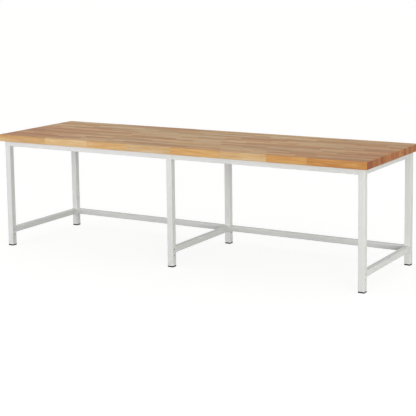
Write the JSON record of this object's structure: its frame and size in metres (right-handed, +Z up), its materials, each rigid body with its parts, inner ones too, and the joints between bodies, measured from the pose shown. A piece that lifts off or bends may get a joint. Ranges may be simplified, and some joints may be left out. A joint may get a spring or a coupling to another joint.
{
  "type": "workbench",
  "caption": "Long workbench: a laminated beech worktop on a bolted square-tube steel frame, open at the front, with low stretchers at the ends, middle and back.",
  "frame": {"origin": "floor level, under the middle of the worktop", "axes": "+X along the bench to the right as seen from its open front, +Y to the back, +Z up"},
  "size_m": [3, 0.9, 0.86],
  "materials": {
    "beech": "oiled laminated beech staves, satin",
    "frame_coat": "light grey powder coat, fine orange peel",
    "foot_plastic": "black moulded plastic",
    "zinc_plate": "bright zinc plate"
  },
  "bodies": {
    "root": {"worktop": "beech", "leg_front_left": "frame_coat", "leg_front_middle": "frame_coat", "leg_front_right": "frame_coat", "leg_rear_left": "frame_coat", "leg_rear_middle": "frame_coat", "leg_rear_right": "frame_coat", "foot_front_left": "foot_plastic", "foot_front_middle": "foot_plastic", "foot_front_right": "foot_plastic", "foot_rear_left": "foot_plastic", "foot_rear_middle": "foot_plastic", "foot_rear_right": "foot_plastic", "cross_rail_left": "frame_coat", "cross_rail_middle": "frame_coat", "cross_rail_right": "frame_coat", "front_rail_left": "frame_coat", "front_rail_right": "frame_coat", "rear_rail_left": "frame_coat", "rear_rail_right": "frame_coat", "side_stretcher_left": "frame_coat", "side_stretcher_middle": "frame_coat", "side_stretcher_right": "frame_coat", "rear_stretcher_left": "frame_coat", "rear_stretcher_right": "frame_coat", "rail_spigots": "frame_coat", "stretcher_spigots": "frame_coat", "locking_screws": "zinc_plate", "spigot_nuts": "zinc_plate", "worktop_screws": "zinc_plate", "worktop_washers": "zinc_plate"}
  },
  "joints": []
}
